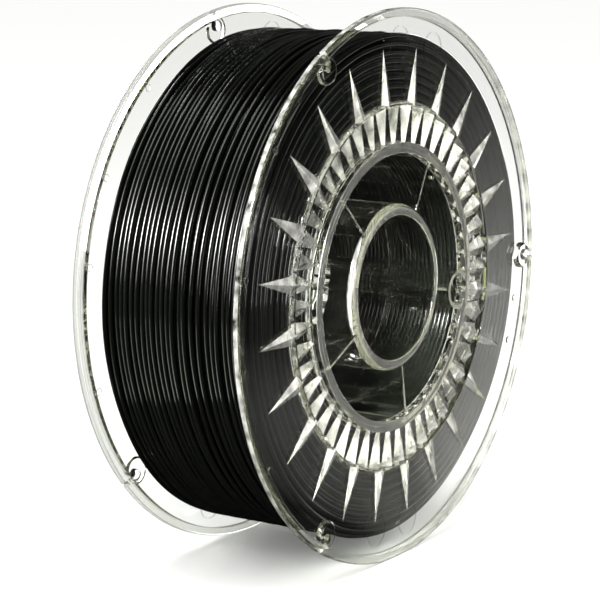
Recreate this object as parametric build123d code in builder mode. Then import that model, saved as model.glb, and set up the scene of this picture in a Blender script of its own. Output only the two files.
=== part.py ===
from build123d import *
import os

# A clear moulded filament spool, wound full of 1.75 mm black filament.
# Frame: the spool's axis is Y, +Z is up, and the origin is the centre of the bore at mid-width.
# The spool stands on the rims of its two flanges. The front half faces -Y.
# The two halves are the same moulding, drawn once in its own frame: axis Z, outer face towards +Z,
# angles measured from +X. The rear half is that moulding turned over about the drive boss's radius.

# Driving dimensions, in millimetres and degrees
SPOOL_RADIUS = 100.0
SPOOL_WIDTH = 70.0
BORE_RADIUS = 26.25
HUB_RADIUS = 30.3
CORE_RADIUS = 52.4
CORE_WALL = 2.0
LIP_WALL = 3.9
WOUND_RADIUS = 91.3
WOUND_SHOULDER = 0.8
WOUND_CLEARANCE = 0.3

HALF_WIDTH = SPOOL_WIDTH / 2
CORE_INNER = CORE_RADIUS - CORE_WALL
LIP_INNER = CORE_RADIUS - LIP_WALL

# Flange section: heights are above the mid-plane
RIM_WIDTH = 3.0
RIM_THICKNESS = 2.9
RIM_EDGE = 0.8
RIM_INNER = SPOOL_RADIUS - RIM_WIDTH
RIM_BACK = HALF_WIDTH - RIM_THICKNESS
PLATE_RECESS = 2.2
PLATE_THICKNESS = 2.0
PLATE_FRONT = HALF_WIDTH - PLATE_RECESS
PLATE_BACK = PLATE_FRONT - PLATE_THICKNESS
DISH_RADIUS = 65.6
DISH_FRONT = PLATE_FRONT - 2.3
DISH_BACK = DISH_FRONT - PLATE_THICKNESS
DISH_SLOPE = 1.0
BEAD_WIDTH = 1.4
BEAD_HEIGHT = 1.0
LIP_TOP = HALF_WIDTH - 1.4
LIP_BACK = LIP_TOP - 3.6
LIP_CHAMFER = 0.4

# Hub tube, spokes and drive boss
HUB_ROUND = 2.5
HUB_CHAMFER = 0.4
SPOKE_COUNT = 5
SPOKE_ANGLE = -9.0
SPOKE_THICKNESS = 1.2
SPOKE_OVERLAP = 1.0
SPOKE_TOP = LIP_TOP - 0.6
BOSS_CENTRE = 44.3
BOSS_RADIUS = 7.3
BOSS_WALL = 1.4

# Sun-ray relief: long rays on the plate, short rays in the dish
RAY_COUNT = 24
RAY_ANGLE = 6.3
RAY_TIP = 86.3
RAY_HALF_WIDTH = 3.4
RAY_HEIGHT = 1.25
SHORT_RAY_COUNT = 48
SHORT_RAY_KNEE = 56.5
SHORT_RAY_HALF_WIDTHS = (1.0, 2.1, 4.1)
SHORT_RAY_HEIGHTS = (0.9, 1.3, 2.2)
RAY_ROOT = 0.3

# Lugs with the holes and rim notches that hold the loose end of the filament
LUG_COUNT = 3
LUG_CENTRE = 93.0
LUG_RADIUS = 5.0
LUG_HEIGHT = 2.0
LUG_ROUND = 1.2
LUG_HOLE_CENTRE = 94.8
LUG_HOLE_RADIUS = 2.1
NOTCH_WIDTH = 2.0
NOTCH_DEPTH = 1.4

# Moulding marks: ejector pips and plain rings, each (radius from the axis, angle)
PIP_RADIUS = 1.3
PIP_HEIGHT = 0.5
PIPS = ((94.5, 143.5), (94.5, 170.5), (94.5, 189.5), (94.5, 212.5), (90.5, 338.8), (90.5, 349.4))
RING_RADIUS = 6.3
RING_WALL = 0.35
RING_HEIGHT = 0.2
RINGS = ((87.5, 89.0), (87.5, 74.0), (88.0, 262.0), (88.0, 276.0))

# Snap joint between the halves: fingers on one side of the boss's radius, pockets on the other
FINGER_ANGLES = (75.0, 159.0, 243.0)
FINGER_WIDTH = 10.0
FINGER_INNER = 48.5
FINGER_OUTER = 49.9
FINGER_ROOT = 9.0
FINGER_REACH = 8.6
FINGER_OVERLAP = 0.5
HOOK_RADIUS = 51.0
HOOK_START = 5.8
HOOK_RISE = 0.4
HOOK_CREST = 0.6
POCKET_RADIUS = 51.5
POCKET_GAP = 0.4
START_HOLE_RADIUS = 1.2
START_HOLE_ANGLE = 45.0
START_HOLE_HEIGHT = 26.0


def flange_and_core():
    """The flange, its rim, the dished middle, the lip and half of the core tube, as one turned wall."""
    with BuildPart() as turned:
        with BuildSketch(Plane.XZ):
            with BuildLine():
                Polyline(
                    (CORE_INNER, 0),
                    (CORE_RADIUS, 0),
                    (CORE_RADIUS, DISH_BACK),
                    (DISH_RADIUS - DISH_SLOPE, DISH_BACK),
                    (DISH_RADIUS + DISH_SLOPE, PLATE_BACK),
                    (RIM_INNER, PLATE_BACK),
                    (RIM_INNER, RIM_BACK),
                    (SPOOL_RADIUS, RIM_BACK),
                    (SPOOL_RADIUS, HALF_WIDTH),
                    (RIM_INNER, HALF_WIDTH),
                    (RIM_INNER, PLATE_FRONT),
                    (DISH_RADIUS + BEAD_WIDTH, PLATE_FRONT),
                    (DISH_RADIUS + BEAD_WIDTH / 2, PLATE_FRONT + BEAD_HEIGHT),
                    (DISH_RADIUS, PLATE_FRONT + BEAD_HEIGHT),
                    (DISH_RADIUS, DISH_FRONT),
                    (CORE_RADIUS, DISH_FRONT),
                    (CORE_RADIUS, LIP_TOP),
                    (LIP_INNER, LIP_TOP),
                    (LIP_INNER, LIP_BACK),
                    (CORE_INNER, LIP_BACK),
                    close=True,
                )
            make_face()
        revolve(axis=Axis.Z)
        fillet(turned.edges().filter_by(GeomType.CIRCLE).group_by(SortBy.RADIUS)[-1], RIM_EDGE)
        circles = turned.edges().filter_by(GeomType.CIRCLE)
        lip_edges = circles.filter_by_position(Axis.Z, LIP_TOP, LIP_TOP)
        chamfer(lip_edges, LIP_CHAMFER)
    return turned.part


def hub_tube():
    """The tube round the bore, with a well rounded outer end."""
    with BuildPart() as tube:
        with BuildSketch():
            Circle(HUB_RADIUS)
            Circle(BORE_RADIUS, mode=Mode.SUBTRACT)
        extrude(amount=LIP_TOP)
        end_edges = tube.edges().group_by(Axis.Z)[-1].sort_by(SortBy.RADIUS)
        fillet(end_edges[-1], HUB_ROUND)
        end_edges = tube.edges().group_by(Axis.Z)[-1].sort_by(SortBy.RADIUS)
        chamfer(end_edges[0], HUB_CHAMFER)
    return tube.part


def long_ray():
    """One pointed ridge on the plate, lying along +X from the bead to its tip."""
    slope = RAY_HEIGHT / (RAY_TIP - DISH_RADIUS)
    root_half_width = RAY_HALF_WIDTH * (1 + RAY_ROOT / RAY_HEIGHT)
    root_tip = RAY_TIP + RAY_ROOT / slope
    root_height = PLATE_FRONT - RAY_ROOT
    with BuildPart() as ray:
        with BuildSketch(Plane.YZ.offset(DISH_RADIUS)) as root:
            with BuildLine():
                Polyline(
                    (-root_half_width, root_height),
                    (root_half_width, root_height),
                    (0, PLATE_FRONT + RAY_HEIGHT),
                    close=True,
                )
            make_face()
        loft([root.sketch, Vertex(root_tip, 0, root_height)])
    return ray.part


def short_ray():
    """One pointed ridge in the dish, lying along +X, which widens from the lip out to the bead."""
    stations = (CORE_RADIUS - RAY_ROOT, SHORT_RAY_KNEE, DISH_RADIUS + RAY_ROOT)
    sections = []
    with BuildPart() as ray:
        for station, half_width, height in zip(stations, SHORT_RAY_HALF_WIDTHS, SHORT_RAY_HEIGHTS):
            with BuildSketch(Plane.YZ.offset(station)) as section:
                with BuildLine():
                    Polyline(
                        (-half_width, DISH_FRONT - RAY_ROOT),
                        (half_width, DISH_FRONT - RAY_ROOT),
                        (half_width, DISH_FRONT),
                        (0, DISH_FRONT + height),
                        (-half_width, DISH_FRONT),
                        close=True,
                    )
                make_face()
            sections.append(section.sketch)
        loft(sections, ruled=True)
    return ray.part


def snap_finger():
    """One finger along +X, rooted on the core wall and hooked below the mid-plane."""
    with BuildPart() as finger:
        with BuildSketch(Plane.XZ):
            with BuildLine():
                Polyline(
                    (FINGER_INNER, FINGER_ROOT),
                    (CORE_INNER + FINGER_OVERLAP, FINGER_ROOT),
                    (CORE_INNER + FINGER_OVERLAP, 0),
                    (FINGER_OUTER, 0),
                    (FINGER_OUTER, -HOOK_START),
                    (HOOK_RADIUS, -HOOK_START - HOOK_RISE),
                    (HOOK_RADIUS, -HOOK_START - HOOK_RISE - HOOK_CREST),
                    (FINGER_OUTER, -FINGER_REACH),
                    (FINGER_INNER, -FINGER_REACH),
                    close=True,
                )
            make_face()
        extrude(amount=FINGER_WIDTH / 2, both=True)
    return finger.part


def spokes_and_boss():
    """Five thin plates from the hub to the core, and the boss that a winder's peg drives."""
    inner_end = HUB_RADIUS - SPOKE_OVERLAP
    outer_end = CORE_INNER + SPOKE_OVERLAP
    length = outer_end - inner_end
    middle = (inner_end + outer_end) / 2
    with BuildPart() as spokes:
        with BuildSketch():
            with PolarLocations(middle, SPOKE_COUNT, start_angle=SPOKE_ANGLE):
                Rectangle(length, SPOKE_THICKNESS)
        extrude(amount=SPOKE_TOP)
        with BuildSketch():
            with PolarLocations(BOSS_CENTRE, 1, start_angle=SPOKE_ANGLE):
                Circle(BOSS_RADIUS)
        extrude(amount=LIP_TOP)
    return spokes.part


def drive_hole():
    """The hole for the winder's peg, through the boss and the edge of the lip."""
    with BuildPart() as cutter:
        with BuildSketch():
            with PolarLocations(BOSS_CENTRE, 1, start_angle=SPOKE_ANGLE):
                Circle(BOSS_RADIUS - BOSS_WALL)
        extrude(amount=LIP_TOP)
    return cutter.part


def lugs():
    """Three round lugs inside the rim."""
    with BuildPart() as round_lugs:
        with BuildSketch(Plane.XY.offset(PLATE_BACK + PLATE_THICKNESS / 2)):
            with PolarLocations(LUG_CENTRE, LUG_COUNT):
                Circle(LUG_RADIUS)
        extrude(amount=PLATE_THICKNESS / 2 + LUG_HEIGHT)
        fillet(round_lugs.edges().group_by(Axis.Z)[-1], LUG_ROUND)
    return round_lugs.part


def lug_holes_and_notches():
    """The hole through the flange at each lug, and the notch in the rim beside it."""
    with BuildPart() as cutters:
        with BuildSketch(Plane.XY.offset(PLATE_BACK)):
            with PolarLocations(LUG_HOLE_CENTRE, LUG_COUNT):
                Circle(LUG_HOLE_RADIUS)
        extrude(amount=HALF_WIDTH - PLATE_BACK)
        with BuildSketch(Plane.XY.offset(RIM_BACK)):
            with PolarLocations(SPOOL_RADIUS, LUG_COUNT):
                Rectangle(2 * NOTCH_DEPTH, NOTCH_WIDTH)
        extrude(amount=RIM_THICKNESS)
    return cutters.part


def core_wall_cuts():
    """Pockets in the core wall for the other half's hooks, and the hole that starts the winding."""
    pocket_height = FINGER_REACH - HOOK_START
    pocket_middle = HOOK_START + pocket_height / 2 - POCKET_GAP
    pocket_depth = POCKET_RADIUS - FINGER_OUTER
    with BuildPart() as cutters:
        for angle in FINGER_ANGLES:
            with PolarLocations(FINGER_OUTER + pocket_depth / 2, 1, start_angle=2 * SPOKE_ANGLE - angle):
                with Locations((0, 0, pocket_middle)):
                    Box(pocket_depth, FINGER_WIDTH + 2 * POCKET_GAP, pocket_height)
        with PolarLocations(CORE_RADIUS, 1, start_angle=START_HOLE_ANGLE):
            with Locations(Location((0, 0, START_HOLE_HEIGHT), (0, 90, 0))):
                Cylinder(START_HOLE_RADIUS, 3 * CORE_WALL)
    return cutters.part


def moulding_marks():
    """Low ejector pips and plain raised rings on the plate."""
    with BuildPart() as marks:
        for radius, angle in PIPS:
            with BuildSketch(Plane.XY.offset(PLATE_FRONT - PIP_HEIGHT)):
                with PolarLocations(radius, 1, start_angle=angle):
                    Circle(PIP_RADIUS)
            extrude(amount=2 * PIP_HEIGHT)
        for radius, angle in RINGS:
            with BuildSketch(Plane.XY.offset(PLATE_FRONT - RING_HEIGHT)):
                with PolarLocations(radius, 1, start_angle=angle):
                    Circle(RING_RADIUS)
                    Circle(RING_RADIUS - RING_WALL, mode=Mode.SUBTRACT)
            extrude(amount=2 * RING_HEIGHT)
    return marks.part


def spool_half():
    """The whole moulding: hub, spokes, boss, core, flange, rays, lugs and snap joint."""
    added = (spokes_and_boss(), hub_tube(), flange_and_core(), lugs(), moulding_marks())
    removed = (core_wall_cuts(), lug_holes_and_notches(), drive_hole())
    ray = long_ray()
    buttress = short_ray()
    finger = snap_finger()
    with BuildPart() as half:
        for piece in added:
            add(piece)
        with PolarLocations(0, RAY_COUNT, start_angle=RAY_ANGLE):
            add(ray)
        with PolarLocations(0, SHORT_RAY_COUNT, start_angle=RAY_ANGLE):
            add(buttress)
        for angle in FINGER_ANGLES:
            with PolarLocations(0, 1, start_angle=angle):
                add(finger)
        for cutter in removed:
            add(cutter, mode=Mode.SUBTRACT)
    return half.part


def winding():
    """The outer shape of the wound filament, which fills the space between the two halves."""
    with BuildPart() as coil:
        with BuildSketch(Plane.XY):
            with BuildLine():
                Polyline(
                    (CORE_RADIUS + WOUND_CLEARANCE, 0),
                    (CORE_RADIUS + WOUND_CLEARANCE, DISH_BACK),
                    (DISH_RADIUS - DISH_SLOPE, DISH_BACK),
                    (DISH_RADIUS + DISH_SLOPE, PLATE_BACK),
                    (WOUND_RADIUS - WOUND_SHOULDER, PLATE_BACK),
                    (WOUND_RADIUS, PLATE_BACK - WOUND_SHOULDER),
                    (WOUND_RADIUS, 0),
                    close=True,
                )
            make_face()
            mirror(about=Plane.XZ)
        revolve(axis=Axis.Y)
    return coil.part


os.makedirs("parts", exist_ok=True)
moulding = spool_half()

with BuildPart(Plane.XZ) as front_half:
    add(moulding)
front_half.part.label = "front_half"
export_step(front_half.part, "parts/front_half.step")

boss_radius_turned = Vector(1, 0, 0).rotate(Axis.Y, -2 * SPOKE_ANGLE)
with BuildPart(Plane(origin=(0, 0, 0), x_dir=boss_radius_turned, z_dir=(0, 1, 0))) as rear_half:
    add(moulding)
rear_half.part.label = "rear_half"
export_step(rear_half.part, "parts/rear_half.step")

with BuildPart() as filament_winding:
    add(winding())
filament_winding.part.label = "filament_winding"
export_step(filament_winding.part, "parts/filament_winding.step")
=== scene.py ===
import math

import bmesh
import bpy
import numpy as np
from mathutils import Matrix, Vector


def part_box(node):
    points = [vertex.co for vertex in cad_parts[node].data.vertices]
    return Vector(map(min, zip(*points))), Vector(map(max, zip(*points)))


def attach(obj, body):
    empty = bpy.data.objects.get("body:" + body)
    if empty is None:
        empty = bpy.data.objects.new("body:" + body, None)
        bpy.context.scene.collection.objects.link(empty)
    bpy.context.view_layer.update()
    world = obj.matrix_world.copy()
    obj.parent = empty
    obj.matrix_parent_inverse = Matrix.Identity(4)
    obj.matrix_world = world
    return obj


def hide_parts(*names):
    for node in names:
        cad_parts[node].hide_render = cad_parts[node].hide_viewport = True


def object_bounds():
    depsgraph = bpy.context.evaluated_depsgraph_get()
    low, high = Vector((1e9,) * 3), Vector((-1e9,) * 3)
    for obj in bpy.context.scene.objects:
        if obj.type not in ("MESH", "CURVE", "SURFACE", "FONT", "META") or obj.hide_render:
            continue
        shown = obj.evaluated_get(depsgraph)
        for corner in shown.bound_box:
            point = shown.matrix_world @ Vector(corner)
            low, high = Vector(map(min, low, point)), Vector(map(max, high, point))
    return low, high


# A clear moulded spool wound full of glossy black filament.
# The spool's axis is Y, +Z is up and the origin is the centre of the bore. The front half faces -Y.
# Shapes are drawn in millimetres and written in metres.
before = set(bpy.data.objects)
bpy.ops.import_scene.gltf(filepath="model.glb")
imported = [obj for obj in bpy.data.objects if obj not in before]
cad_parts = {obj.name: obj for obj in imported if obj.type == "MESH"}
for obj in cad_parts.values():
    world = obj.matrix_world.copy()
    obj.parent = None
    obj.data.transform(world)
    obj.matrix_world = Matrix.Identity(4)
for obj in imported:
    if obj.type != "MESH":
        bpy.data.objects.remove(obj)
cad_low, cad_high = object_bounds()

MM = 0.001
half_low, half_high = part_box("front_half")
wound_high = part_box("filament_winding")[1]

# Driving dimensions from the imported parts. Every length is in millimetres up to the section on materials.
SPOOL_RADIUS = half_high.z / MM
HALF_WIDTH = -half_low.y / MM
WOUND_RADIUS = wound_high.z / MM
PLATE_BACK = wound_high.y / MM

# The moulding: heights are above the spool's mid-plane, angles count from +X seen from the front
BORE_RADIUS = 26.25
HUB_RADIUS = 30.3
CORE_RADIUS = 52.4
CORE_INNER = CORE_RADIUS - 2.0
LIP_INNER = CORE_RADIUS - 3.9
PARTING_GAP = 0.03
RIM_INNER = SPOOL_RADIUS - 3.0
RIM_BACK = HALF_WIDTH - 2.9
RIM_EDGE = 0.8
PLATE_FRONT = HALF_WIDTH - 2.2
DISH_RADIUS = 65.6
DISH_SLOPE = 1.0
DISH_FRONT = PLATE_FRONT - 2.3
DISH_BACK = DISH_FRONT - 2.0
BEAD_WIDTH = 1.4
BEAD_HEIGHT = 1.0
LIP_TOP = HALF_WIDTH - 1.4
LIP_BACK = LIP_TOP - 3.6
LIP_CHAMFER = 0.4
SMALL_ROUND = 0.25
HUB_ROUND = 2.5
HUB_CHAMFER = 0.4
SPOKE_COUNT = 5
SPOKE_ANGLE = -9.0
SPOKE_THICKNESS = 1.2
SPOKE_TOP = LIP_TOP - 0.6
SPOKE_OVERLAP = 1.0
BOSS_CENTRE = 44.3
BOSS_RADIUS = 7.3
BOSS_HOLE_RADIUS = 5.9
RAY_COUNT = 24
RAY_ANGLE = 6.3
RAY_TIP = 86.3
RAY_HALF_WIDTH = 3.4
RAY_HEIGHT = 1.25
RAY_ROOT = 0.3
SHORT_RAY_COUNT = 48
SHORT_RAY_KNEE = 56.5
SHORT_RAY_HALF_WIDTHS = (1.0, 2.1, 4.1)
SHORT_RAY_HEIGHTS = (0.9, 1.3, 2.2)
LUG_COUNT = 3
LUG_CENTRE = 93.0
LUG_RADIUS = 5.0
LUG_HEIGHT = 2.0
LUG_ROUND = 1.2
LUG_HOLE_CENTRE = 94.8
LUG_HOLE_RADIUS = 2.1
NOTCH_WIDTH = 2.0
NOTCH_DEPTH = 1.4
PIP_RADIUS = 1.3
PIP_HEIGHT = 0.5
PIPS = ((94.5, 143.5), (94.5, 170.5), (94.5, 189.5), (94.5, 212.5), (90.5, 338.8), (90.5, 349.4))
RING_RADIUS = 6.3
RING_WALL = 0.35
RING_HEIGHT = 0.2
RINGS = ((87.5, 89.0), (87.5, 74.0), (88.0, 262.0), (88.0, 276.0))
FINGER_ANGLES = (75.0, 159.0, 243.0)
FINGER_WIDTH = 10.0
FINGER_OUTLINE = (
    (48.5, 9.0), (50.9, 9.0), (50.9, 0.0), (49.9, 0.0), (49.9, -5.8),
    (51.0, -6.2), (51.0, -6.8), (49.9, -8.6), (48.5, -8.6),
)
POCKET_DEPTH = 1.6
POCKET_HEIGHTS = (5.4, 8.2)
POCKET_GAP = 0.4
START_HOLE_RADIUS = 1.2
START_HOLE_ANGLE = 45.0
START_HOLE_HEIGHT = 26.0
LUG_ROOT = PLATE_BACK + 1.0
POCKET_INNER = CORE_RADIUS - 2.5
CUT_MARGIN = 1.0
START_HOLE_MARGIN = 2.0

# The share of light that the surfaces of the moulding scatter: (least, most). The scattered share is a
# painted glow, lit by the lamps, in place of light that the clear plastic leads through by internal
# reflection. The rim's share passes unbent.
CLEAR_GLOW = (0.0, 0.0)
FACET_GLOW = (0.03, 0.12)
EDGE_GLOW = (0.0, 0.1)
END_GLOW = (0.03, 0.045)
RIM_PASS = 0.55
WATER_CLEAR = (0.985, 0.99, 0.975, 1)
PAINTED_GLOW_CREAM = (0.98, 0.97, 0.91, 1)

# The strand
STRAND = 1.75
SEED = 31

# How finely round shapes are drawn
TURN_STEPS = 288
SMALL_TURN_STEPS = 48
CORNER_STEPS = 6
ROUND_SIDES = 12
HIDDEN_SIDES = 8
SMOOTH_ANGLE = math.radians(18)


# Small helpers

def mesh_object(name, vertices, faces):
    """An object from points in millimetres; its mesh is in metres."""
    mesh = bpy.data.meshes.new(name)
    mesh.from_pydata([tuple(v) for v in np.asarray(vertices, float) * MM], [], faces)
    mesh.update()
    piece = bpy.data.objects.new(name, mesh)
    bpy.context.scene.collection.objects.link(piece)
    return piece


def rounded(corners):
    """A closed outline from (radius, height, corner rounding) points, with arcs at the rounded corners."""
    outline = []
    for index, (radius, height, rounding) in enumerate(corners):
        corner = Vector((radius, height))
        if rounding == 0:
            outline.append(tuple(corner))
            continue
        before = (Vector(corners[index - 1][:2]) - corner).normalized()
        after = (Vector(corners[(index + 1) % len(corners)][:2]) - corner).normalized()
        half_angle = before.angle(after) / 2
        centre = corner + (before + after).normalized() * rounding / math.sin(half_angle)
        start = corner + before * rounding / math.tan(half_angle) - centre
        end = corner + after * rounding / math.tan(half_angle) - centre
        first = math.atan2(start.y, start.x)
        sweep = (math.atan2(end.y, end.x) - first + math.pi) % (2 * math.pi) - math.pi
        for step in range(CORNER_STEPS + 1):
            angle = first + sweep * step / CORNER_STEPS
            outline.append((centre.x + rounding * math.cos(angle), centre.y + rounding * math.sin(angle)))
    return outline


def turned(name, outline, steps=TURN_STEPS, centre=(0.0, 0.0)):
    """A closed ring: the outline of (radius, height) points turned about a line parallel to the axis."""
    angles = np.arange(steps) * 2 * math.pi / steps
    radius, height = np.array(outline, float).T
    x = centre[0] + np.outer(np.cos(angles), radius)
    y = centre[1] + np.outer(np.sin(angles), radius)
    z = np.tile(height, (steps, 1))
    count = len(outline)
    faces = [
        (i * count + j, (i + 1) % steps * count + j,
         (i + 1) % steps * count + (j + 1) % count, i * count + (j + 1) % count)
        for i in range(steps) for j in range(count)
    ]
    return outward(mesh_object(name, np.stack([x, y, z], -1).reshape(-1, 3), faces))


def prism(name, outline, low, high):
    """A straight prism with an (x, y) outline between two heights."""
    count = len(outline)
    vertices = [(x, y, low) for x, y in outline] + [(x, y, high) for x, y in outline]
    sides = [(i, (i + 1) % count, count + (i + 1) % count, count + i) for i in range(count)]
    ends = [tuple(range(count)), tuple(range(count, 2 * count))]
    return outward(mesh_object(name, vertices, sides + ends))


def disc(radius, centre=(0.0, 0.0), steps=SMALL_TURN_STEPS):
    """The outline of a circle."""
    angles = np.arange(steps) * 2 * math.pi / steps
    return [(centre[0] + radius * math.cos(a), centre[1] + radius * math.sin(a)) for a in angles]


def outward(piece):
    """Turns a closed mesh's faces outward."""
    shape = bmesh.new()
    shape.from_mesh(piece.data)
    bmesh.ops.recalc_face_normals(shape, faces=shape.faces)
    shape.to_mesh(piece.data)
    shape.free()
    return piece


def polar(radius, degrees):
    """The (x, y) place at a radius and an angle."""
    angle = math.radians(degrees)
    return radius * math.cos(angle), radius * math.sin(angle)


def turned_copies(name, piece, count, first_angle):
    """One object holding copies of a piece, spaced evenly round the axis. The piece is used up."""
    points = np.array([v.co for v in piece.data.vertices]) / MM
    polygons = [tuple(p.vertices) for p in piece.data.polygons]
    vertices = []
    faces = []
    for index in range(count):
        turn = np.array(Matrix.Rotation(math.radians(first_angle + index * 360 / count), 3, "Z"))
        faces += [tuple(v + index * len(points) for v in polygon) for polygon in polygons]
        vertices.append(points @ turn.T)
    bpy.data.objects.remove(piece)
    return mesh_object(name, np.concatenate(vertices), faces)


def final_mesh(piece):
    """The piece's mesh with its modifiers applied."""
    depsgraph = bpy.context.evaluated_depsgraph_get()
    return bpy.data.meshes.new_from_object(piece.evaluated_get(depsgraph))


def boolean(piece, tool, operation):
    """Adds a tool to a piece or cuts it away. The tool is used up."""
    modifier = piece.modifiers.new(operation, "BOOLEAN")
    modifier.operation = operation
    modifier.solver = "MANIFOLD"
    modifier.object = tool
    mesh = final_mesh(piece)
    piece.modifiers.clear()
    piece.data = mesh
    bpy.data.objects.remove(tool)


def smooth(piece):
    """Smooth shading with crisp corners, and normals that keep large flat faces flat."""
    piece.data.shade_smooth()
    piece.data.set_sharp_from_angle(angle=SMOOTH_ANGLE)
    weighted = piece.modifiers.new("weighted", "WEIGHTED_NORMAL")
    weighted.keep_sharp = True
    piece.data = final_mesh(piece)
    piece.modifiers.clear()


# The clear moulding, drawn once

def flange_and_core():
    """The core tube, the lip, the dished middle, the bead, the plate and the rim, as one turned wall."""
    corners = (
        (CORE_INNER, PARTING_GAP, 0),
        (CORE_RADIUS, PARTING_GAP, 0),
        (CORE_RADIUS, DISH_BACK, SMALL_ROUND),
        (DISH_RADIUS - DISH_SLOPE, DISH_BACK, SMALL_ROUND),
        (DISH_RADIUS + DISH_SLOPE, PLATE_BACK, SMALL_ROUND),
        (RIM_INNER, PLATE_BACK, SMALL_ROUND),
        (RIM_INNER, RIM_BACK, 0),
        (SPOOL_RADIUS, RIM_BACK, RIM_EDGE),
        (SPOOL_RADIUS, HALF_WIDTH, RIM_EDGE),
        (RIM_INNER, HALF_WIDTH, SMALL_ROUND),
        (RIM_INNER, PLATE_FRONT, SMALL_ROUND),
        (DISH_RADIUS + BEAD_WIDTH, PLATE_FRONT, SMALL_ROUND),
        (DISH_RADIUS + BEAD_WIDTH / 2, PLATE_FRONT + BEAD_HEIGHT, SMALL_ROUND / 2),
        (DISH_RADIUS, PLATE_FRONT + BEAD_HEIGHT, SMALL_ROUND / 2),
        (DISH_RADIUS, DISH_FRONT, SMALL_ROUND),
        (CORE_RADIUS, DISH_FRONT, SMALL_ROUND),
        (CORE_RADIUS, LIP_TOP, SMALL_ROUND),
        (LIP_INNER, LIP_TOP, LIP_CHAMFER),
        (LIP_INNER, LIP_BACK, SMALL_ROUND),
        (CORE_INNER, LIP_BACK, SMALL_ROUND),
    )
    return turned("moulding", rounded(corners))


def hub_tube():
    """The tube round the bore, with a well rounded outer end."""
    corners = (
        (BORE_RADIUS, PARTING_GAP, 0),
        (HUB_RADIUS, PARTING_GAP, 0),
        (HUB_RADIUS, LIP_TOP, HUB_ROUND),
        (BORE_RADIUS, LIP_TOP, HUB_CHAMFER),
    )
    return turned("hub", rounded(corners))


def spokes():
    """Five thin plates from the hub to the core, slightly rounded along their outer edges."""
    inner_end = HUB_RADIUS - SPOKE_OVERLAP
    outer_end = CORE_INNER + SPOKE_OVERLAP
    half = SPOKE_THICKNESS / 2
    bevel = SPOKE_THICKNESS / 5
    section = (
        (-half, PARTING_GAP), (half, PARTING_GAP), (half, SPOKE_TOP - bevel),
        (half - bevel, SPOKE_TOP), (bevel - half, SPOKE_TOP), (-half, SPOKE_TOP - bevel),
    )
    count = len(section)
    vertices = [(x, y, z) for x in (inner_end, outer_end) for y, z in section]
    sides = [(i, (i + 1) % count, count + (i + 1) % count, count + i) for i in range(count)]
    ends = [tuple(range(count)), tuple(range(count, 2 * count))]
    plate = mesh_object("spoke", vertices, sides + ends)
    return turned_copies("spokes", outward(plate), SPOKE_COUNT, SPOKE_ANGLE)


def long_rays():
    """Pointed ridges on the plate, from the bead out to their tips."""
    slope = RAY_HEIGHT / (RAY_TIP - DISH_RADIUS)
    root_half_width = RAY_HALF_WIDTH * (1 + RAY_ROOT / RAY_HEIGHT)
    root = PLATE_FRONT - RAY_ROOT
    vertices = (
        (DISH_RADIUS, -root_half_width, root),
        (DISH_RADIUS, root_half_width, root),
        (DISH_RADIUS, 0, PLATE_FRONT + RAY_HEIGHT),
        (RAY_TIP + RAY_ROOT / slope, 0, root),
    )
    ray = mesh_object("ray", vertices, [(0, 1, 2), (0, 3, 1), (1, 3, 2), (2, 3, 0)])
    return turned_copies("long_rays", outward(ray), RAY_COUNT, RAY_ANGLE)


def short_rays():
    """Pointed ridges in the dish, which widen from the lip out to the bead."""
    stations = (CORE_RADIUS - RAY_ROOT, SHORT_RAY_KNEE, DISH_RADIUS + RAY_ROOT)
    vertices = []
    for station, half_width, height in zip(stations, SHORT_RAY_HALF_WIDTHS, SHORT_RAY_HEIGHTS):
        vertices += [
            (station, -half_width, DISH_FRONT - RAY_ROOT),
            (station, half_width, DISH_FRONT - RAY_ROOT),
            (station, half_width, DISH_FRONT),
            (station, 0, DISH_FRONT + height),
            (station, -half_width, DISH_FRONT),
        ]
    corners = 5
    faces = [tuple(range(corners)), tuple(range(2 * corners, 3 * corners))]
    for first in (0, corners):
        for i in range(corners):
            j = (i + 1) % corners
            faces.append((first + i, first + j, first + corners + j, first + corners + i))
    ray = mesh_object("ray", vertices, faces)
    return turned_copies("short_rays", outward(ray), SHORT_RAY_COUNT, RAY_ANGLE)


def add_marks(moulding):
    """Lugs, ejector pips and plain raised rings."""
    for index in range(LUG_COUNT):
        angle = index * 360 / LUG_COUNT
        corners = (
            (0, LUG_ROOT, 0),
            (LUG_RADIUS, LUG_ROOT, 0),
            (LUG_RADIUS, PLATE_FRONT + LUG_HEIGHT, LUG_ROUND),
            (0, PLATE_FRONT + LUG_HEIGHT, 0),
        )
        boolean(moulding, dome("lug", rounded(corners), polar(LUG_CENTRE, angle)), "UNION")
    for radius, angle in PIPS:
        corners = (
            (0, PLATE_FRONT - PIP_HEIGHT, 0),
            (PIP_RADIUS, PLATE_FRONT - PIP_HEIGHT, 0),
            (PIP_RADIUS, PLATE_FRONT + PIP_HEIGHT, PIP_HEIGHT / 2),
            (0, PLATE_FRONT + PIP_HEIGHT, 0),
        )
        boolean(moulding, dome("pip", rounded(corners), polar(radius, angle)), "UNION")
    for radius, angle in RINGS:
        outline = (
            (RING_RADIUS - RING_WALL, PLATE_FRONT - RING_HEIGHT),
            (RING_RADIUS, PLATE_FRONT - RING_HEIGHT),
            (RING_RADIUS, PLATE_FRONT + RING_HEIGHT),
            (RING_RADIUS - RING_WALL, PLATE_FRONT + RING_HEIGHT),
        )
        boolean(moulding, turned("ring", outline, SMALL_TURN_STEPS, polar(radius, angle)), "UNION")


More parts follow.
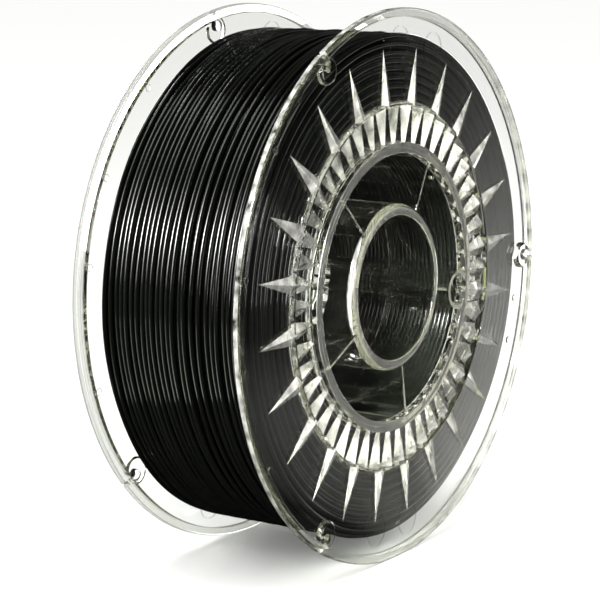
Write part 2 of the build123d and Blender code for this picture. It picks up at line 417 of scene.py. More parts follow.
def dome(name, outline, centre):
    """A closed solid of revolution whose first and last outline points lie on its own axis."""
    steps = SMALL_TURN_STEPS
    angles = np.arange(steps) * 2 * math.pi / steps
    middle = np.array(outline[1:-1], float)
    count = len(middle)
    x = centre[0] + np.outer(np.cos(angles), middle[:, 0])
    y = centre[1] + np.outer(np.sin(angles), middle[:, 0])
    z = np.tile(middle[:, 1], (steps, 1))
    vertices = np.stack([x, y, z], -1).reshape(-1, 3)
    bottom = [i * count for i in range(steps)]
    top = [i * count + count - 1 for i in range(steps)]
    faces = [tuple(bottom), tuple(top[::-1])]
    for i in range(steps):
        k = (i + 1) % steps
        for j in range(count - 1):
            faces.append((i * count + j, i * count + j + 1, k * count + j + 1, k * count + j))
    return outward(mesh_object(name, vertices, faces))


def add_snap_fingers(moulding):
    """Fingers that cross the mid-plane and hook into the other half's core wall."""
    count = len(FINGER_OUTLINE)
    vertices = [(x, side * FINGER_WIDTH / 2, z) for side in (-1, 1) for x, z in FINGER_OUTLINE]
    sides = [(i, (i + 1) % count, count + (i + 1) % count, count + i) for i in range(count)]
    ends = [tuple(range(count)), tuple(range(count, 2 * count))]
    for angle in FINGER_ANGLES:
        finger = mesh_object("finger", vertices, sides + ends)
        boolean(moulding, turned_copies("finger", outward(finger), 1, angle), "UNION")


def cut_holes(moulding):
    """Lug holes, rim notches, hook pockets, the drive hole and the hole that starts the winding."""
    low = PLATE_BACK - CUT_MARGIN
    high = HALF_WIDTH + CUT_MARGIN
    for index in range(LUG_COUNT):
        angle = index * 360 / LUG_COUNT
        centre = polar(LUG_HOLE_CENTRE, angle)
        boolean(moulding, prism("hole", disc(LUG_HOLE_RADIUS, centre), low, high), "DIFFERENCE")
    half = NOTCH_WIDTH / 2
    inner = SPOOL_RADIUS - NOTCH_DEPTH
    outer = SPOOL_RADIUS + NOTCH_DEPTH
    notch = prism("notch", ((inner, -half), (outer, -half), (outer, half), (inner, half)), low, high)
    boolean(moulding, turned_copies("notches", notch, LUG_COUNT, 0), "DIFFERENCE")
    near = POCKET_INNER
    far = near + POCKET_DEPTH
    half = FINGER_WIDTH / 2 + POCKET_GAP
    for angle in FINGER_ANGLES:
        pocket = prism("pocket", ((near, -half), (far, -half), (far, half), (near, half)), *POCKET_HEIGHTS)
        pocket = turned_copies("pocket", pocket, 1, 2 * SPOKE_ANGLE - angle)
        boolean(moulding, pocket, "DIFFERENCE")
    centre = polar(BOSS_CENTRE, SPOKE_ANGLE)
    boolean(moulding, prism("drive_hole", disc(BOSS_HOLE_RADIUS, centre), -CUT_MARGIN, high), "DIFFERENCE")
    inner = CORE_INNER - START_HOLE_MARGIN
    outer = CORE_RADIUS + START_HOLE_MARGIN
    start = prism("start_hole", disc(START_HOLE_RADIUS), inner, outer)
    turn = Matrix.Translation((0, 0, START_HOLE_HEIGHT * MM)) @ Matrix.Rotation(math.pi / 2, 4, "Y")
    start.data.transform(Matrix.Rotation(math.radians(START_HOLE_ANGLE), 4, "Z") @ turn)
    boolean(moulding, start, "DIFFERENCE")


def clear_moulding():
    """One half of the spool, axis +Z, outer face up."""
    moulding = flange_and_core()
    boolean(moulding, hub_tube(), "UNION")
    boolean(moulding, spokes(), "UNION")
    boss = prism("boss", disc(BOSS_RADIUS, polar(BOSS_CENTRE, SPOKE_ANGLE)), PARTING_GAP, LIP_TOP)
    boolean(moulding, boss, "UNION")
    boolean(moulding, short_rays(), "UNION")
    boolean(moulding, long_rays(), "UNION")
    add_marks(moulding)
    add_snap_fingers(moulding)
    cut_holes(moulding)
    smooth(moulding)
    return moulding


# The winding. A place along a coil is counted in turns.

# Each layer: turns, steps in a turn, and the sideways jumps of its uneven traverse
TOP_STEPS = 180
TOP_TURNS = 25.0
TOP_JUMPS = 24
UNDER_STEPS = 140
UNDER_TURNS = 30.0
UNDER_JUMPS = 14
TRAVERSE_GAP = 0.02
JUMP_SIZES = (0.3, 1.0)
JUMP_SPREADS = (0.02, 0.12)

# The top layer's gentle waves, (waves in a turn, swing), and how it dips between the strands under it
TOP_WAVES = ((9.31, 0.13), (6.17, 0.1))
DIP_REACH = 0.6
LIFT_SMOOTHING = 9
FAR_AWAY = 1e9

# The flat coils against the flanges: they wander along the flange and dip away from it
SIDE_PITCH = 3.0
SIDE_DEPTH = 0.85
SIDE_STEPS = 150
SIDE_WANDERS = 30
SIDE_WANDER = 0.25
SIDE_WANDER_LENGTHS = (0.1, 0.6)
SIDE_DIPS = (0, 0.4)
SIDE_DIP_LENGTHS = (0.2, 0.8)

# The first layer on the core
INNER_STEPS = 110
INNER_PITCH = 1.8
INNER_WANDER = 0.15
INNER_WAVES = (2.3, 0.7)

# Clearances, and how many strands deep the packed turns lie under what shows
WALL_GAP = 0.1
FLANGE_GAP = 0.05
PACKED_TOP = 2.6
PACKED_SIDE = 1.8
PACKED_CORE = 1.6
PACKED_STEPS = 144
RIPPLE_PARTS = (0.1, 0.3, 0.5, 0.7, 0.9)


def strand(name, turns, radius, y, sides):
    """A round strand that follows a coil. turns, radius and y are arrays along its length."""
    angle = turns * 2 * math.pi
    path = np.stack([radius * np.cos(angle), y, radius * np.sin(angle)], -1)
    along = np.gradient(path, axis=0)
    along /= np.linalg.norm(along, axis=1)[:, None]
    out = np.stack([np.cos(angle), np.zeros_like(angle), np.sin(angle)], -1)
    out -= along * np.sum(out * along, axis=1)[:, None]
    out /= np.linalg.norm(out, axis=1)[:, None]
    across = np.cross(along, out)
    ring = np.arange(sides) * 2 * math.pi / sides
    offsets = out[:, None] * np.cos(ring)[None, :, None] + across[:, None] * np.sin(ring)[None, :, None]
    vertices = (path[:, None] + offsets * STRAND / 2).reshape(-1, 3)
    count = len(path)
    i = np.arange(count - 1)[:, None] * sides
    j = np.arange(sides)[None, :]
    k = (j + 1) % sides
    quads = np.stack([i + j, i + sides + j, i + sides + k, i + k], -1).reshape(-1, 4)
    faces = [tuple(q) for q in quads.tolist()]
    faces += [tuple(range(sides)), tuple(range((count - 1) * sides, count * sides))[::-1]]
    piece = outward(mesh_object(name, vertices, faces))
    piece.data.shade_smooth()
    return piece


def traverse(length, turns, steps, jumps, seed):
    """Positions across the width for each step of a layer: even turns, with sideways jumps here and there."""
    random = np.random.default_rng(seed)
    s = np.arange(int(turns * steps) + 1) / steps
    place = s * (STRAND + TRAVERSE_GAP)
    spare = length - place[-1]
    sizes = random.uniform(*JUMP_SIZES, jumps) ** 2
    sizes *= spare / sizes.sum()
    for size, middle in zip(sizes, random.uniform(0, turns, jumps)):
        spread = random.uniform(*JUMP_SPREADS)
        place += size * (0.5 + 0.5 * np.tanh((s - middle) / spread))
    place -= place[0]
    return s, place * length / place[-1]


def distance_to_layer(turns, y, layer_turns, layer_y):
    """How far each point of a strand is, across the width, from the nearest strand of the layer below."""
    nearest = np.full(len(y), FAR_AWAY)
    phase = turns % 1.0
    for k in range(int(layer_turns[-1]) + 2):
        other = np.interp(phase + k, layer_turns, layer_y)
        inside = phase + k <= layer_turns[-1]
        nearest = np.where(inside, np.minimum(nearest, np.abs(other - y)), nearest)
    return nearest


def coil_layers():
    """The two outermost layers: the upper strand rides over the lower one and dips into its gaps."""
    half = PLATE_BACK - STRAND / 2 - WALL_GAP
    under_turns, under_y = traverse(2 * half, UNDER_TURNS, UNDER_STEPS, UNDER_JUMPS, SEED)
    under_y = half - under_y
    top_turns, top_y = traverse(2 * half, TOP_TURNS, TOP_STEPS, TOP_JUMPS, SEED + 1)
    top_y = top_y - half
    gap = distance_to_layer(top_turns, top_y, under_turns, under_y)
    lift = np.sqrt(STRAND ** 2 - np.minimum(gap, STRAND * DIP_REACH) ** 2)
    kernel = np.hanning(LIFT_SMOOTHING)
    lift = np.convolve(np.pad(lift, LIFT_SMOOTHING // 2, mode="edge"), kernel / kernel.sum(), mode="valid")
    under_radius = WOUND_RADIUS - 1.5 * STRAND
    for waves, swing in TOP_WAVES:
        lift += swing * np.sin(2 * math.pi * waves * top_turns)
    top = strand("filament_top_turns", top_turns, under_radius + lift, top_y, ROUND_SIDES)
    level = np.full(len(under_y), under_radius)
    under = strand("filament_under_turns", under_turns, level, under_y, HIDDEN_SIDES)
    return [top, under]


def hump(s, middle, length):
    """A smooth hump of height 1 along a coil."""
    return np.exp(-((s - middle) / length) ** 2)


def side_coil(name, side, recessed, seed):
    """A flat coil against one flange, from the core out. The recessed coil lies deeper, between its turns."""
    random = np.random.default_rng(seed)
    first = CORE_RADIUS + STRAND / 2 + WALL_GAP + (SIDE_PITCH / 2 if recessed else 0)
    last = WOUND_RADIUS - 1.5 * STRAND
    turns = (last - first) / SIDE_PITCH
    s = np.arange(int(turns * SIDE_STEPS) + 1) / SIDE_STEPS
    radius = first + s * SIDE_PITCH
    wander = np.zeros_like(s)
    depth = np.full_like(s, SIDE_DEPTH if recessed else 0)
    for _ in range(SIDE_WANDERS):
        middle = random.uniform(0, turns)
        size = random.uniform(-SIDE_WANDER, SIDE_WANDER)
        wander += size * hump(s, middle, random.uniform(*SIDE_WANDER_LENGTHS))
        size = random.uniform(*SIDE_DIPS)
        middle = random.uniform(0, turns)
        depth += size * hump(s, middle, random.uniform(*SIDE_DIP_LENGTHS))
    inner = DISH_BACK - STRAND / 2 - FLANGE_GAP
    outer = PLATE_BACK - STRAND / 2 - FLANGE_GAP
    share = np.clip((radius - (DISH_RADIUS - DISH_SLOPE)) / (2 * DISH_SLOPE), 0, 1)
    y = inner + (outer - inner) * share * share * (3 - 2 * share) - depth
    return strand(name, s, radius + wander, side * y, ROUND_SIDES)


def inner_turns():
    """The first layer, which shows through the core wall."""
    half = DISH_BACK - STRAND / 2 - WALL_GAP
    turns = 2 * half / INNER_PITCH
    s = np.arange(int(turns * INNER_STEPS) + 1) / INNER_STEPS
    radius = np.full(len(s), CORE_RADIUS + STRAND / 2 + WALL_GAP)
    wander = INNER_WANDER * np.sin(s * INNER_WAVES[0]) * np.sin(s * INNER_WAVES[1])
    y = half - s * INNER_PITCH + wander
    return strand("filament_first_layer", s, radius, y, HIDDEN_SIDES)


def packed_turns():
    """The hidden turns between the layers that show, as one body with a rippled surface."""
    ripple = STRAND / 3
    outer = WOUND_RADIUS - PACKED_TOP * STRAND
    inner = CORE_RADIUS + PACKED_CORE * STRAND
    wide = PLATE_BACK - PACKED_SIDE * STRAND
    narrow = DISH_BACK - PACKED_SIDE * STRAND
    count = int(2 * wide / STRAND)
    outline = []
    for index in range(count):
        for part in RIPPLE_PARTS:
            y = -wide + (index + part) * 2 * wide / count
            outline.append((outer + ripple * math.sin(part * math.pi), y))
    outline += [(DISH_RADIUS + DISH_SLOPE, wide), (DISH_RADIUS - DISH_SLOPE, narrow), (inner, narrow)]
    outline += [(inner, -narrow), (DISH_RADIUS - DISH_SLOPE, -narrow), (DISH_RADIUS + DISH_SLOPE, -wide)]
    body = turned("filament_packed_turns", outline, PACKED_STEPS)
    body.data.transform(Matrix.Rotation(math.pi / 2, 4, "X"))
    body.data.shade_smooth()
    return body


# Materials. Lengths are in metres from here on. A texture is (scale, detail), a bump (distance, strength).

# Clear plastic: what it lets through into its shadow, the colour of its depth, and its surface
PLASTIC_IOR = 1.58
PLASTIC_SHADOW = (0.86, 0.87, 0.84, 1)
PLASTIC_DEPTH = (0.74, 0.75, 0.65, 1)
PLASTIC_DENSITY = 20
# The patches spread the painted glow unevenly over a surface
PLASTIC_PATCHES = (180, 3)
PLASTIC_PATCH_EDGES = (0.35, 0.65)
PLASTIC_RIPPLES = (90, 2)
PLASTIC_BUMP = (0.0004, 0.05)
PLASTIC_HAZE = (260, 3)
PLASTIC_ROUGHNESS = (0.0, 0.015)

# The strand: two near blacks in long patches, and fine lines drawn out along it
STRAND_DARK = (0.0012, 0.0014, 0.0012, 1)
STRAND_PALE = (0.0032, 0.0035, 0.0030, 1)
STRAND_SPECULAR = 0.4
STRAND_STRETCH = (1, 12, 1)
STRAND_PATCHES = (35, 3)
STRAND_ROUGHNESS = (0.07, 0.14)
STRAND_DIE_LINES = (420, 2)
STRAND_BUMP = (0.00005, 0.2)


def new_material(name):
    """A material with an empty node tree."""
    material = bpy.data.materials.new(name)
    material.use_nodes = True
    tree = material.node_tree
    tree.nodes.clear()
    return material, tree


def noise(tree, scale, detail, vector):
    """A noise texture's value, from 0 to 1."""
    node = tree.nodes.new("ShaderNodeTexNoise")
    node.inputs["Scale"].default_value = scale
    node.inputs["Detail"].default_value = detail
    tree.links.new(vector, node.inputs["Vector"])
    return node.outputs["Fac"]


def remap(tree, value, low, high, start=0.3, end=0.7):
    """Values from start to end, spread from low to high."""
    node = tree.nodes.new("ShaderNodeMapRange")
    node.inputs["From Min"].default_value = start
    node.inputs["From Max"].default_value = end
    node.inputs["To Min"].default_value = low
    node.inputs["To Max"].default_value = high
    tree.links.new(value, node.inputs["Value"])
    return node.outputs["Result"]


def stretched_position(tree, scale):
    """The object's own coordinates, stretched by a scale for each axis."""
    coordinates = tree.nodes.new("ShaderNodeTexCoord")
    mapping = tree.nodes.new("ShaderNodeMapping")
    mapping.inputs["Scale"].default_value = scale
    tree.links.new(coordinates.outputs["Object"], mapping.inputs["Vector"])
    return mapping.outputs["Vector"]


def bump(tree, height, distance, strength):
    """A surface normal that follows a height texture."""
    node = tree.nodes.new("ShaderNodeBump")
    node.inputs["Distance"].default_value = distance
    node.inputs["Strength"].default_value = strength
    tree.links.new(height, node.inputs["Height"])
    return node.outputs["Normal"]


def clear_plastic(name, colour, glow, passing_share=0.0):
    """Clear moulded plastic with a faint olive cast in its depth, flow ripples and handling haze.

    The glow is the share of light that a surface scatters, in patches between its least and most; it is a
    painted glow, lit by the lamps, in place of light led through the plastic by internal reflection. The
    passing share of the light goes straight on, unbent."""
    material, tree = new_material(name)
    shader = tree.nodes.new("ShaderNodeBsdfPrincipled")
    shader.inputs["Base Color"].default_value = colour
    shader.inputs["IOR"].default_value = PLASTIC_IOR
    position = stretched_position(tree, (1, 1, 1))
    shader.inputs["Transmission Weight"].default_value = 1.0 - glow[0]
    if glow[1] > glow[0]:
        patches = noise(tree, *PLASTIC_PATCHES, position)
        patches = remap(tree, patches, 1.0 - glow[0], 1.0 - glow[1], *PLASTIC_PATCH_EDGES)
        tree.links.new(patches, shader.inputs["Transmission Weight"])
    ripples = noise(tree, *PLASTIC_RIPPLES, position)
    haze = noise(tree, *PLASTIC_HAZE, position)
    tree.links.new(remap(tree, haze, *PLASTIC_ROUGHNESS), shader.inputs["Roughness"])
    tree.links.new(bump(tree, ripples, *PLASTIC_BUMP), shader.inputs["Normal"])
    light_path = tree.nodes.new("ShaderNodeLightPath")
    passing = tree.nodes.new("ShaderNodeBsdfTransparent")
    passing.inputs["Color"].default_value = PLASTIC_SHADOW
    mix = tree.nodes.new("ShaderNodeMixShader")
    share = calculated(tree, "MAXIMUM", light_path.outputs["Is Shadow Ray"], passing_share)
    tree.links.new(share, mix.inputs["Fac"])
    tree.links.new(shader.outputs["BSDF"], mix.inputs[1])
    tree.links.new(passing.outputs["BSDF"], mix.inputs[2])
    absorption = tree.nodes.new("ShaderNodeVolumeAbsorption")
    absorption.inputs["Color"].default_value = PLASTIC_DEPTH
    absorption.inputs["Density"].default_value = PLASTIC_DENSITY
    output = tree.nodes.new("ShaderNodeOutputMaterial")
    tree.links.new(mix.outputs["Shader"], output.inputs["Surface"])
    tree.links.new(absorption.outputs["Volume"], output.inputs["Volume"])
    return material


def black_filament():
    """Glossy extruded plastic: near black, with die lines along the strand and uneven gloss."""
    material, tree = new_material("glossy_black_strand")
    shader = tree.nodes.new("ShaderNodeBsdfPrincipled")
    shader.inputs["Specular IOR Level"].default_value = STRAND_SPECULAR
    position = stretched_position(tree, STRAND_STRETCH)
    patches = noise(tree, *STRAND_PATCHES, position)
    fine = noise(tree, *STRAND_DIE_LINES, position)
    colour = tree.nodes.new("ShaderNodeValToRGB")
    colour.color_ramp.elements[0].color = STRAND_DARK
    colour.color_ramp.elements[1].color = STRAND_PALE
    tree.links.new(patches, colour.inputs["Fac"])
    tree.links.new(colour.outputs["Color"], shader.inputs["Base Color"])
    tree.links.new(remap(tree, patches, *STRAND_ROUGHNESS), shader.inputs["Roughness"])
    tree.links.new(bump(tree, fine, *STRAND_BUMP), shader.inputs["Normal"])
    output = tree.nodes.new("ShaderNodeOutputMaterial")
    tree.links.new(shader.outputs["BSDF"], output.inputs["Surface"])
    return material


# What glossy surfaces mirror of the walls, the far floor and the near floor: (azimuth in degrees,
# brightness). The walls' table is the world's light; the floor's tables are painted reflections in the
# floor's colour, dark but for bright bands.
MIRRORED_WALLS = ((-180, 0.005), (60, 0.005), (63, 0.26), (74, 0.26), (80, 0.02), (180, 0.005))
PAINTED_FLOOR_REFLECTIONS = ((-180, 0.005), (58, 0.02), (61, 0.8), (76, 0.8), (90, 0.02), (180, 0.005))
PAINTED_NEAR_FLOOR_REFLECTIONS = ((-180, 0.01), (20, 0.01), (50, 0.2), (61, 0.8), (76, 0.8), (90, 0.02), (180, 0.01))
MIRRORED_SCALE = 2.0
MIRRORED_TINT = (1.0, 1.0, 0.96)
NEAR_FLOOR = (0.28, 0.45)
# In the floor's colour this pale grey is painted light, in place of light led through the plastic; in the
# world it is light
GUIDED_LIGHT = (0.95, 0.95, 0.90, 1)
GUIDED_AFTER = 7.5
MIRRORED_AFTER = 0.5
FLOOR_WHITE = (0.97, 0.97, 0.965, 1)
WALL_WHITE = (1.0, 1.0, 0.99, 1)


def surroundings(tree, vector, plain, table, near_table=None):
    """What a ray sees: the plain colour, or in a mirror the table's brightness at its azimuth.

    Light that is led on through the plastic by many reflections is a pale grey. The near table is for what
    lies close by, when the vector is a position on the floor. In the world this is light; in the floor's
    colour the tables and the pale grey are painted reflections and painted light."""
    parts = tree.nodes.new("ShaderNodeSeparateXYZ")
    tree.links.new(vector, parts.inputs[0])
    backward = calculated(tree, "MULTIPLY", parts.outputs["Y"], -1)
    azimuth = calculated(tree, "ARCTAN2", parts.outputs["X"], backward)
    mirrored = brightness_by_azimuth(tree, azimuth, table)
    if near_table:
        reach = tree.nodes.new("ShaderNodeVectorMath")
        reach.operation = "LENGTH"
        tree.links.new(vector, reach.inputs[0])
        far = remap(tree, reach.outputs["Value"], 0, 1, *NEAR_FLOOR)
        mirrored = colour_mix(tree, far, brightness_by_azimuth(tree, azimuth, near_table), mirrored)
    mirrors = tree.nodes.new("ShaderNodeLightPath").outputs["Glossy Depth"]
    shown = colour_mix(tree, calculated(tree, "GREATER_THAN", mirrors, MIRRORED_AFTER), plain, mirrored)
    return colour_mix(tree, calculated(tree, "GREATER_THAN", mirrors, GUIDED_AFTER), shown, GUIDED_LIGHT)


def brightness_by_azimuth(tree, azimuth, table):
    """The table's brightness at an azimuth in radians, as a colour."""
    ramp = tree.nodes.new("ShaderNodeValToRGB")
    stops = ramp.color_ramp.elements
    while len(stops) < len(table):
        stops.new(0.5)
    for stop, (degrees, brightness) in zip(stops, table):
        stop.position = (degrees + 180) / 360
        stop.color = (*(brightness * channel for channel in MIRRORED_TINT), 1)
    tree.links.new(remap(tree, azimuth, 0, 1, -math.pi, math.pi), ramp.inputs["Fac"])
    brighter = tree.nodes.new("ShaderNodeVectorMath")
    brighter.operation = "SCALE"
    brighter.inputs["Scale"].default_value = MIRRORED_SCALE
    tree.links.new(ramp.outputs["Color"], brighter.inputs[0])
    return brighter.outputs["Vector"]


def calculated(tree, operation, *values):
    """The output of a maths node. A value is a number or another node's output."""
    node = tree.nodes.new("ShaderNodeMath")
    node.operation = operation
    for socket, value in zip(node.inputs, values):
        connect(tree, value, socket)
    return node.outputs[0]


def colour_mix(tree, share, first, second):
    """A blend of two colours, each a plain colour or another node's output."""
    node = tree.nodes.new("ShaderNodeMix")
    node.data_type = "RGBA"
    tree.links.new(share, node.inputs["Factor"])
    colour_inputs = [i for i in node.inputs if i.type == "RGBA"]
    connect(tree, first, colour_inputs[0])
    connect(tree, second, colour_inputs[1])
    return [o for o in node.outputs if o.type == "RGBA"][0]


def connect(tree, value, socket):
    """Gives a socket a plain value or another node's output."""
    if isinstance(value, bpy.types.NodeSocket):
        tree.links.new(value, socket)
    else:
        socket.default_value = value


def floor_with_painted_reflections():
    """Plain white to the camera and in diffuse light. Where glossy surfaces mirror it, its colour holds
    painted reflections: brightness by azimuth and nearness, and a painted pale grey for light led through the
    plastic.
    """
    material, tree = new_material("floor")
    shader = tree.nodes.new("ShaderNodeBsdfDiffuse")
    place = stretched_position(tree, (1, 1, 1))
    colour = surroundings(tree, place, FLOOR_WHITE, PAINTED_FLOOR_REFLECTIONS, PAINTED_NEAR_FLOOR_REFLECTIONS)
    tree.links.new(colour, shader.inputs["Color"])
    output = tree.nodes.new("ShaderNodeOutputMaterial")
    tree.links.new(shader.outputs["BSDF"], output.inputs["Surface"])
    return material


# Build the object

# The moulding's material slots, those of facets, end faces and the front rim's edge with a painted glow, and
# the least upward lean of a facet and of an end face
CLEAR, FACETS, ENDS, RIM, EDGE = range(5)
FACET_LEAN = 0.3
END_LEAN = 0.8
FACET_SLOPE = 0.2
RIM_MARGIN = 0.5


def slot_of_face(face):
    """Which material slot a face of the moulding takes. Ray facets that lean up and across, upward end faces
    and the rim's edge take slots with a painted glow, except the rear half's edge.
    """
    centre = face.center / MM
    radius = math.hypot(centre.x, centre.y)
    up = face.normal.z
    across = abs(face.normal.y * centre.x - face.normal.x * centre.y) / max(radius, 1)
    on_rays = CORE_RADIUS < radius < RAY_TIP and centre.z > DISH_FRONT
    if on_rays and up > FACET_LEAN and across > FACET_SLOPE:
        return FACETS
    if up > END_LEAN and radius < CORE_RADIUS and centre.z > SPOKE_TOP - SPOKE_THICKNESS:
        return ENDS
    if abs(up) < FACET_LEAN and radius > SPOOL_RADIUS - RIM_MARGIN:
        return EDGE
    if radius > RIM_INNER - RIM_MARGIN:
        return RIM
    return CLEAR


def place_halves(clear, facets, ends, rim, front_edge):
    """The front half faces -Y. The rear half is the same moulding turned over about the boss's radius."""
    front = clear_moulding()
    face_slots = [slot_of_face(face) for face in front.data.polygons]
    rear = bpy.data.objects.new("rear_moulding", front.data.copy())
    bpy.context.scene.collection.objects.link(rear)
    front.name = "front_moulding"
    for half, edge in ((front, front_edge), (rear, rim)):
        half.data.materials.clear()
        for material in (clear, facets, ends, rim, edge):
            half.data.materials.append(material)
        for face, slot in zip(half.data.polygons, face_slots):
            face.material_index = slot
    facing_front = Matrix.Rotation(math.pi / 2, 4, "X")
    boss_radius = facing_front @ Vector((*polar(1, SPOKE_ANGLE), 0))
    front.data.transform(facing_front)
    rear.data.transform(Matrix.Rotation(math.pi, 4, boss_radius) @ facing_front)
    for half, node in ((front, "front_half"), (rear, "rear_half")):
        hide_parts(node)
        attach(half, "root")
    return [front, rear]


def place_winding(material):
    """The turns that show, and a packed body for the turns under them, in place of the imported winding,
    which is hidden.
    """
    pieces = coil_layers()
    for index, (place, side) in enumerate((("front", -1), ("rear", 1))):
        pieces.append(side_coil(f"filament_{place}_turns", side, False, SEED + 2 + 2 * index))
        pieces.append(side_coil(f"filament_{place}_deeper_turns", side, True, SEED + 3 + 2 * index))
    pieces.append(inner_turns())
    pieces.append(packed_turns())
    for piece in pieces:
        piece.data.materials.append(material)
        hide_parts("filament_winding")
        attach(piece, "root")
    return pieces


halves = place_halves(
    clear_plastic("moulded_clear_plastic", WATER_CLEAR, CLEAR_GLOW),
    clear_plastic("moulded_facets", PAINTED_GLOW_CREAM, FACET_GLOW),
    clear_plastic("moulded_ends", PAINTED_GLOW_CREAM, END_GLOW),
    clear_plastic("moulded_rim", WATER_CLEAR, CLEAR_GLOW, RIM_PASS),
    clear_plastic("moulded_edge", PAINTED_GLOW_CREAM, EDGE_GLOW),
)
winding = place_winding(black_filament())


# Studio. Angles are in degrees, and azimuth 0 is in front of the spool.

FLOOR_SIZE = 12.0
CAMERA_AZIMUTH = -56.5
CAMERA_ELEVATION = 9.5
CAMERA_DISTANCE = 0.8097
CAMERA_LENS = 132.05
AIM_LEFT = 0.0072
AIM_DOWN = 0.00765
CAMERA_CLIP = (0.05, 50)

# Light paths: how often light may bounce, and how many bounces are always followed
LIGHT_BOUNCES = 48
FULL_BOUNCES = 8

# Panels of light: (name, azimuth, elevation, distance, width, height, power in watts)
STREAK_AZIMUTH = -131
UPPER_PANEL = ("upper_panel", -165, 50, 1.2, 0.85, 0.25, 2)
TALL_PANEL = ("tall_panel", STREAK_AZIMUTH, 55, 0.9, 0.3, 0.8, 4)
GROUND_PANEL = ("ground_panel", STREAK_AZIMUTH, 0, 0.32, 0.12, 0.35, 0.5)
FAR_SIDE_PANEL = ("far_side_panel", 90, 15, 0.9, 0.45, 0.5, 9)
FRONT_PANEL = ("front_panel", -24, 5, 1.2, 0.35, 0.9, 10)
REAR_PANEL = ("rear_panel", 156, 8, 1.2, 0.35, 0.9, 10)
RIGHT_PANEL = ("right_panel", 90, -8, 0.45, 0.3, 0.06, 0.3)
FACET_PANEL = ("facet_panel", -78, 32, 1.2, 0.25, 0.25, 210)
TOP_PANEL = ("top_panel", -60, 60, 1.2, 1.6, 1.6, 20)
OLIVE = (0.92, 1.0, 0.86)
GROUND_PANEL_HEIGHT = 0.004

# The panel that streaks the strands is a stack of ever taller and fainter ones, so that its ends fade
SIDE_PLACE = (STREAK_AZIMUTH, 19, 0.9)
SIDE_WIDTH = 0.45
SIDE_HEIGHT = 0.56
SIDE_POWER = 125
SIDE_LAYERS = 5
SIDE_FADE = 0.5


def direction(azimuth, elevation):
    """The unit vector towards an azimuth and an elevation."""
    a = math.radians(azimuth)
    e = math.radians(elevation)
    return Vector((math.sin(a) * math.cos(e), -math.cos(a) * math.cos(e), math.sin(e)))


def make_floor():
    """A wide flat floor under the spool."""
    half = FLOOR_SIZE / 2
    mesh = bpy.data.meshes.new("floor")
    corners = [(x, y, cad_low.z) for x, y in ((-half, -half), (half, -half), (half, half), (-half, half))]
    mesh.from_pydata(corners, [], [(0, 1, 2, 3)])
    floor = bpy.data.objects.new("floor", mesh)
    bpy.context.scene.collection.objects.link(floor)
    mesh.materials.append(floor_with_painted_reflections())
    return floor


def panel(name, azimuth, elevation, distance, width, height, power, colour=(1, 1, 1)):
    """A soft light panel that faces the spool."""
    data = bpy.data.lights.new(name, "AREA")
    data.shape = "RECTANGLE"
    data.size = width
    data.size_y = height
    data.energy = power
    data.color = colour
    light = bpy.data.objects.new(name, data)
    towards = direction(azimuth, elevation)
    light.location = towards * distance
    light.rotation_euler = towards.to_track_quat("Z", "Y").to_euler()
    bpy.context.scene.collection.objects.link(light)
    return light


def light_only(light, pieces):
    """The light reaches these pieces and nothing else."""
    lit = bpy.data.collections.new(light.name + "_lights")
    for piece in pieces:
        lit.objects.link(piece)
    light.light_linking.receiver_collection = lit


def make_world():
    """Even white surroundings, uneven where glossy surfaces mirror them."""
    world = bpy.data.worlds.new("studio")
    bpy.context.scene.world = world
    world.use_nodes = True
    tree = world.node_tree
    tree.nodes.clear()
    coordinates = tree.nodes.new("ShaderNodeTexCoord")
    background = tree.nodes.new("ShaderNodeBackground")
    colour = surroundings(tree, coordinates.outputs["Generated"], WALL_WHITE, MIRRORED_WALLS)
    tree.links.new(colour, background.inputs["Color"])
    output = tree.nodes.new("ShaderNodeOutputWorld")
    tree.links.new(background.outputs["Background"], output.inputs["Surface"])
    world.cycles.sampling_method = "NONE"


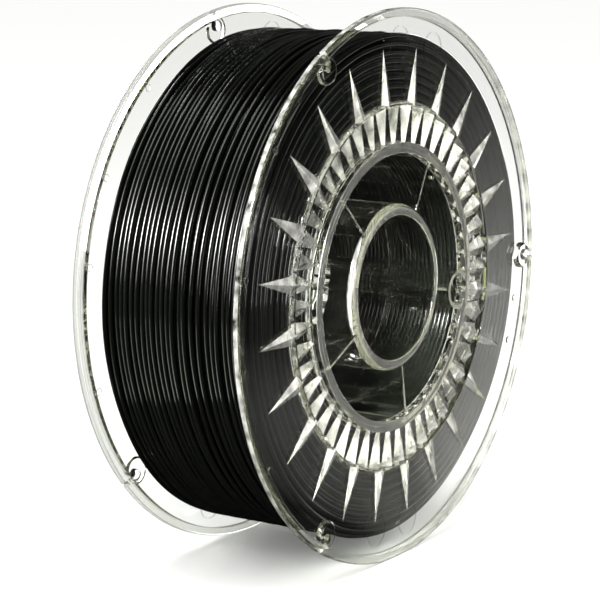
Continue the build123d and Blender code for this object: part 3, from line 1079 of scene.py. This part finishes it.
def make_camera():
    """The camera, aimed a little to the left of and below the spool's centre."""
    camera = bpy.data.objects.new("camera", bpy.data.cameras.new("camera"))
    bpy.context.scene.collection.objects.link(camera)
    camera.data.lens = CAMERA_LENS
    back = direction(CAMERA_AZIMUTH, CAMERA_ELEVATION)
    right = Vector((0, 0, 1)).cross(back).normalized()
    up = back.cross(right)
    camera.location = back * CAMERA_DISTANCE
    aim = -right * AIM_LEFT - up * AIM_DOWN
    camera.rotation_euler = (camera.location - aim).to_track_quat("Z", "Y").to_euler()
    camera.data.clip_start, camera.data.clip_end = CAMERA_CLIP
    bpy.context.scene.camera = camera


def light_strands(outer_turns):
    """The streaks and the faint olive lines on the outer turns."""
    for index in range(SIDE_LAYERS):
        height = SIDE_HEIGHT * (index + 1) / SIDE_LAYERS
        power = SIDE_POWER * height * SIDE_FADE ** index
        light_only(panel(f"side_panel_{index}", *SIDE_PLACE, SIDE_WIDTH, height, power), outer_turns)
    light_only(panel(*UPPER_PANEL), outer_turns)
    light_only(panel(*TALL_PANEL, OLIVE), outer_turns)
    light_only(panel(*FAR_SIDE_PANEL), outer_turns)
    ground = panel(*GROUND_PANEL, OLIVE)
    ground.location.z = cad_low.z + GROUND_PANEL_HEIGHT
    ground.rotation_euler = (math.pi, 0, math.radians(STREAK_AZIMUTH))
    ground.visible_camera = False
    ground.visible_transmission = False
    light_only(ground, outer_turns)


def light_studio(floor, halves, winding):
    """Panels for the floor, the mouldings and the turns, each for its own pieces alone."""
    outer_turns = winding[:2]
    front_coils = winding[2:4]
    rear_coils = winding[4:6]
    light_strands(outer_turns)
    light_only(panel(*FRONT_PANEL), front_coils + rear_coils + halves)
    light_only(panel(*RIGHT_PANEL), front_coils + rear_coils + halves)
    light_only(panel(*REAR_PANEL), rear_coils + halves[1:])
    light_only(panel(*FACET_PANEL), halves)
    light_only(panel(*TOP_PANEL), [floor])


light_studio(make_floor(), halves, winding)
make_world()
make_camera()
bpy.context.scene.view_settings.view_transform = "Standard"
paths = bpy.context.scene.cycles
paths.max_bounces = LIGHT_BOUNCES
paths.glossy_bounces = LIGHT_BOUNCES
paths.transmission_bounces = LIGHT_BOUNCES
paths.min_light_bounces = FULL_BOUNCES
